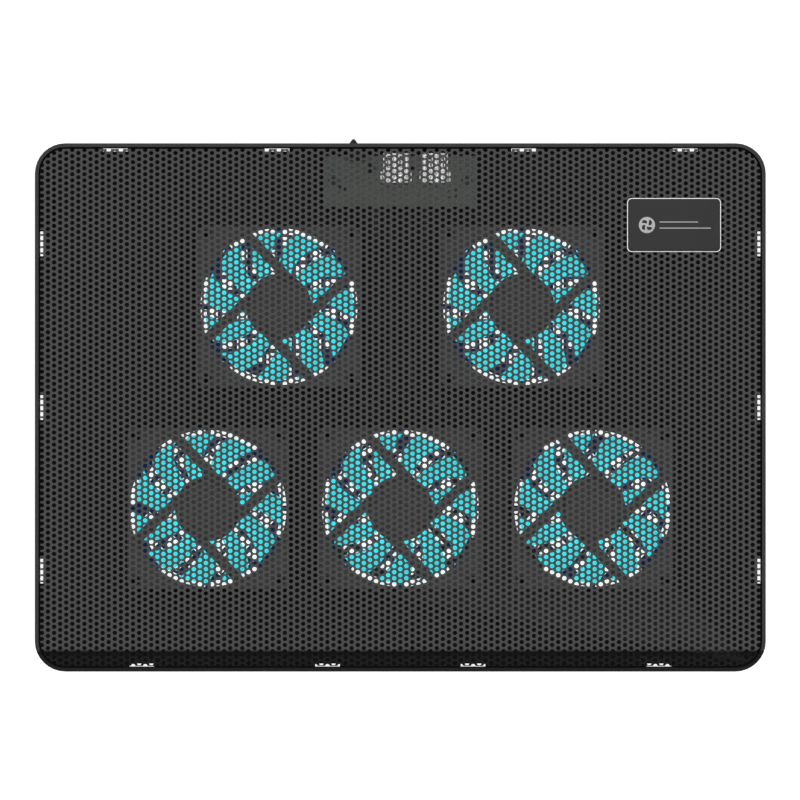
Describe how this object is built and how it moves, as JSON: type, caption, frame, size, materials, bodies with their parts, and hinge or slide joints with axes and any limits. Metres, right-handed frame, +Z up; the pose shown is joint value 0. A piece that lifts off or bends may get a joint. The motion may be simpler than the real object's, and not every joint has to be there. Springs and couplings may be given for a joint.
{
  "type": "laptop cooling pad",
  "caption": "Flat laptop cooling pad: a moulded tray under a perforated steel sheet, with lit axial fans, twin USB sockets, a slide switch and folding rear feet.",
  "frame": {"origin": "on the table, in the middle of the footprint, with the switch knob counted in its depth", "axes": "+X to the user's right, +Y to the rear edge with the ports, +Z up through the sheet"},
  "size_m": [0.361, 0.2632, 0.026],
  "materials": {
    "tray": "fine matt moulded black",
    "sheet": "satin dark grey powder coat on perforated steel",
    "plate": "dark anodised with a bright edge",
    "frame": "matt dark grey",
    "blade": "translucent turquoise, lit from behind",
    "steel": "bright",
    "bronze": "sintered bronze",
    "copper": "enamelled copper wire on laminated steel",
    "ferrite": "dark ferrite",
    "lead": "soft black jacket",
    "board": "dark green solder mask",
    "black": "matt black",
    "rubber": "soft black"
  },
  "bodies": {
    "base": {"base_tray": "tray", "top_sheet": "sheet", "name_plate": "plate", "fan_rear_left_frame": "frame", "fan_rear_left_bearing": "bronze", "fan_rear_left_stator": "copper", "fan_rear_left_lead": "lead", "fan_rear_right_frame": "frame", "fan_rear_right_bearing": "bronze", "fan_rear_right_stator": "copper", "fan_rear_right_lead": "lead", "fan_front_left_frame": "frame", "fan_front_left_bearing": "bronze", "fan_front_left_stator": "copper", "fan_front_left_lead": "lead", "fan_front_centre_frame": "frame", "fan_front_centre_bearing": "bronze", "fan_front_centre_stator": "copper", "fan_front_centre_lead": "lead", "fan_front_right_frame": "frame", "fan_front_right_bearing": "bronze", "fan_front_right_stator": "copper", "fan_front_right_lead": "lead", "circuit_board": "board", "board_screw_left": "steel", "usb_shell_left": "steel", "usb_tongue_left": "black", "foot_pin_left": "steel", "rubber_pad_front_left": "rubber", "rubber_pad_rear_left": "rubber", "board_screw_right": "steel", "usb_shell_right": "steel", "usb_tongue_right": "black", "foot_pin_right": "steel", "rubber_pad_front_right": "rubber", "rubber_pad_rear_right": "rubber", "switch_body": "black"},
    "rotor_rear_left": {"fan_rear_left_rotor": "blade", "fan_rear_left_magnet": "ferrite", "fan_rear_left_shaft": "steel"},
    "rotor_rear_right": {"fan_rear_right_rotor": "blade", "fan_rear_right_magnet": "ferrite", "fan_rear_right_shaft": "steel"},
    "rotor_front_left": {"fan_front_left_rotor": "blade", "fan_front_left_magnet": "ferrite", "fan_front_left_shaft": "steel"},
    "rotor_front_centre": {"fan_front_centre_rotor": "blade", "fan_front_centre_magnet": "ferrite", "fan_front_centre_shaft": "steel"},
    "rotor_front_right": {"fan_front_right_rotor": "blade", "fan_front_right_magnet": "ferrite", "fan_front_right_shaft": "steel"},
    "foot_left": {"foot_left": "tray", "foot_tip_left": "rubber"},
    "foot_right": {"foot_right": "tray", "foot_tip_right": "rubber"},
    "switch_knob": {"switch_knob": "black"}
  },
  "joints": [
    {"name": "fan_rear_left_spin", "type": "hinge", "parent": "base", "child": "rotor_rear_left", "pos_m": [-0.06, 0.0488, 0.01], "axis": [0, 0, 1], "continuous": true},
    {"name": "fan_rear_right_spin", "type": "hinge", "parent": "base", "child": "rotor_rear_right", "pos_m": [0.06, 0.0488, 0.01], "axis": [0, 0, 1], "continuous": true},
    {"name": "fan_front_left_spin", "type": "hinge", "parent": "base", "child": "rotor_front_left", "pos_m": [-0.0951, -0.051, 0.01], "axis": [0, 0, 1], "continuous": true},
    {"name": "fan_front_centre_spin", "type": "hinge", "parent": "base", "child": "rotor_front_centre", "pos_m": [0, -0.051, 0.01], "axis": [0, 0, 1], "continuous": true},
    {"name": "fan_front_right_spin", "type": "hinge", "parent": "base", "child": "rotor_front_right", "pos_m": [0.0951, -0.051, 0.01], "axis": [0, 0, 1], "continuous": true},
    {"name": "foot_left_fold", "type": "hinge", "parent": "base", "child": "foot_left", "pos_m": [-0.14, 0.1039, 0.0046], "axis": [1, 0, 0], "range_deg": [0, 105]},
    {"name": "foot_right_fold", "type": "hinge", "parent": "base", "child": "foot_right", "pos_m": [0.14, 0.1039, 0.0046], "axis": [1, 0, 0], "range_deg": [0, 105]},
    {"name": "switch_slide", "type": "slide", "parent": "base", "child": "switch_knob", "axis": [1, 0, 0], "range_m": [0, 0.003]}
  ]
}
